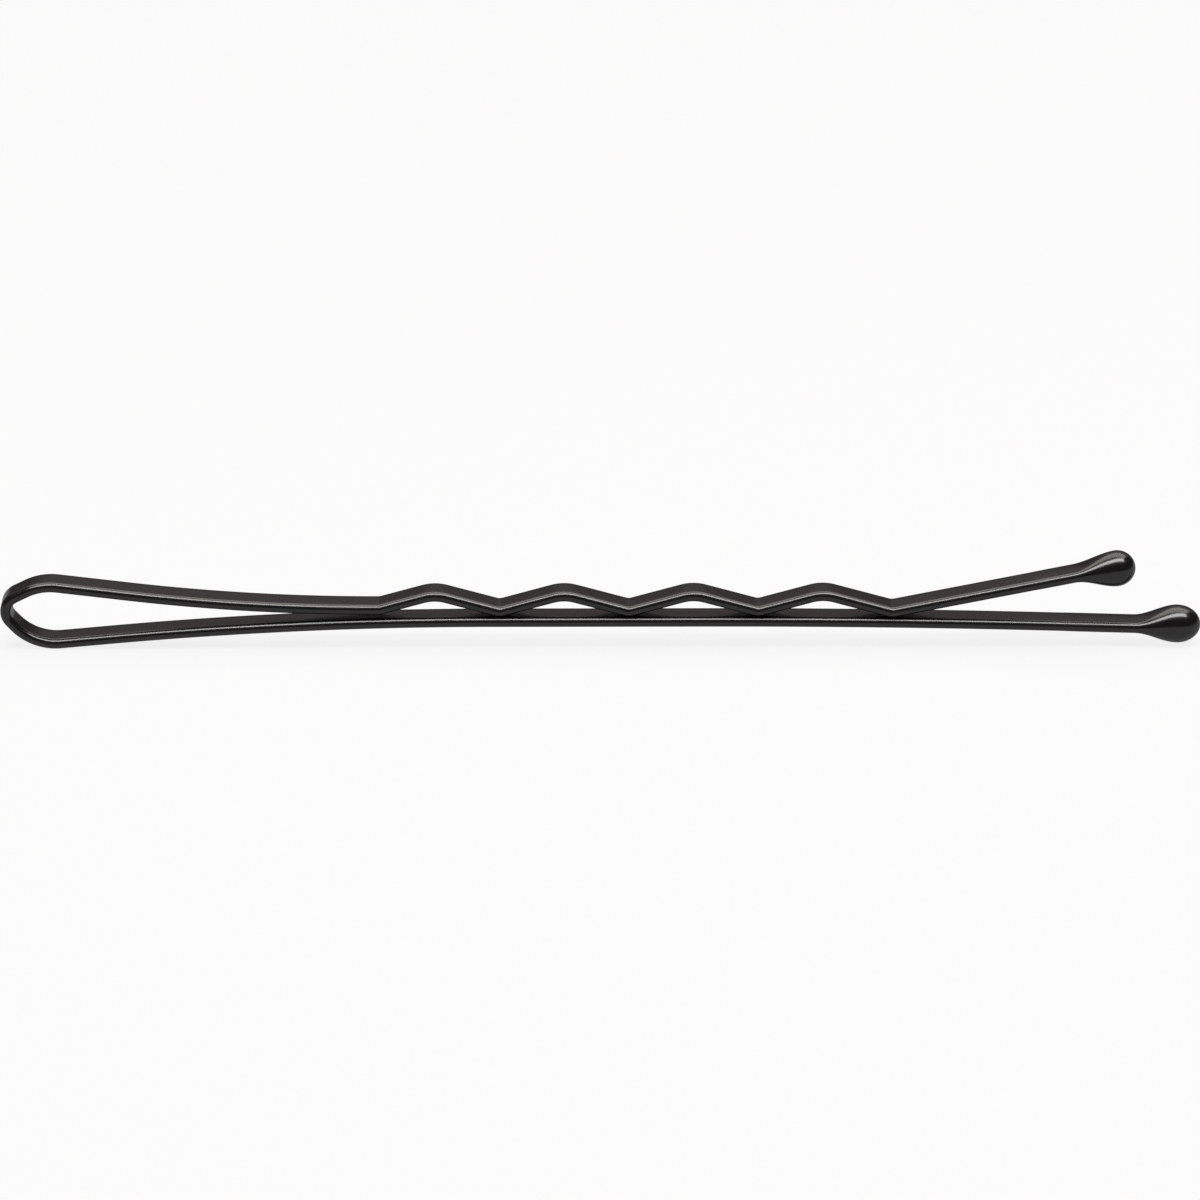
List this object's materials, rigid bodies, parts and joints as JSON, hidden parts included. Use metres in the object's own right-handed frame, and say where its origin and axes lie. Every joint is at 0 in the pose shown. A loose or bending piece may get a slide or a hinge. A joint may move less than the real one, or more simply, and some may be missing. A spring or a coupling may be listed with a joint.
{
  "type": "bobby pin",
  "caption": "Flat-wire hair pin: a springy bow joins a plain leg to a crimped leg with a flared end, and both wire ends are covered by smooth dipped drops.",
  "frame": {"origin": "middle of the pin's length and width, on the surface under the bow and the plain leg's drop", "axes": "+X from the bow towards the tips, +Z the way the crimped leg opens, +Y across the wire's width"},
  "size_m": [0.0508, 0.0016, 0.0042],
  "materials": {
    "enamelled_wire": "satin black enamel on spring steel",
    "dipped_tip": "glossy black dipped resin"
  },
  "bodies": {
    "plain_side": {"bow": "enamelled_wire", "straight_leg": "enamelled_wire", "straight_leg_tip": "dipped_tip"},
    "crimped_side": {"crimped_leg": "enamelled_wire", "crimped_leg_tip": "dipped_tip"}
  },
  "joints": [
    {"name": "leg_spread", "type": "hinge", "parent": "plain_side", "child": "crimped_side", "pos_m": [-0.01998, 0, 0.00263], "axis": [0, -1, 0], "range_deg": [0, 15], "stiffness_Nm_per_rad": 0.05}
  ]
}
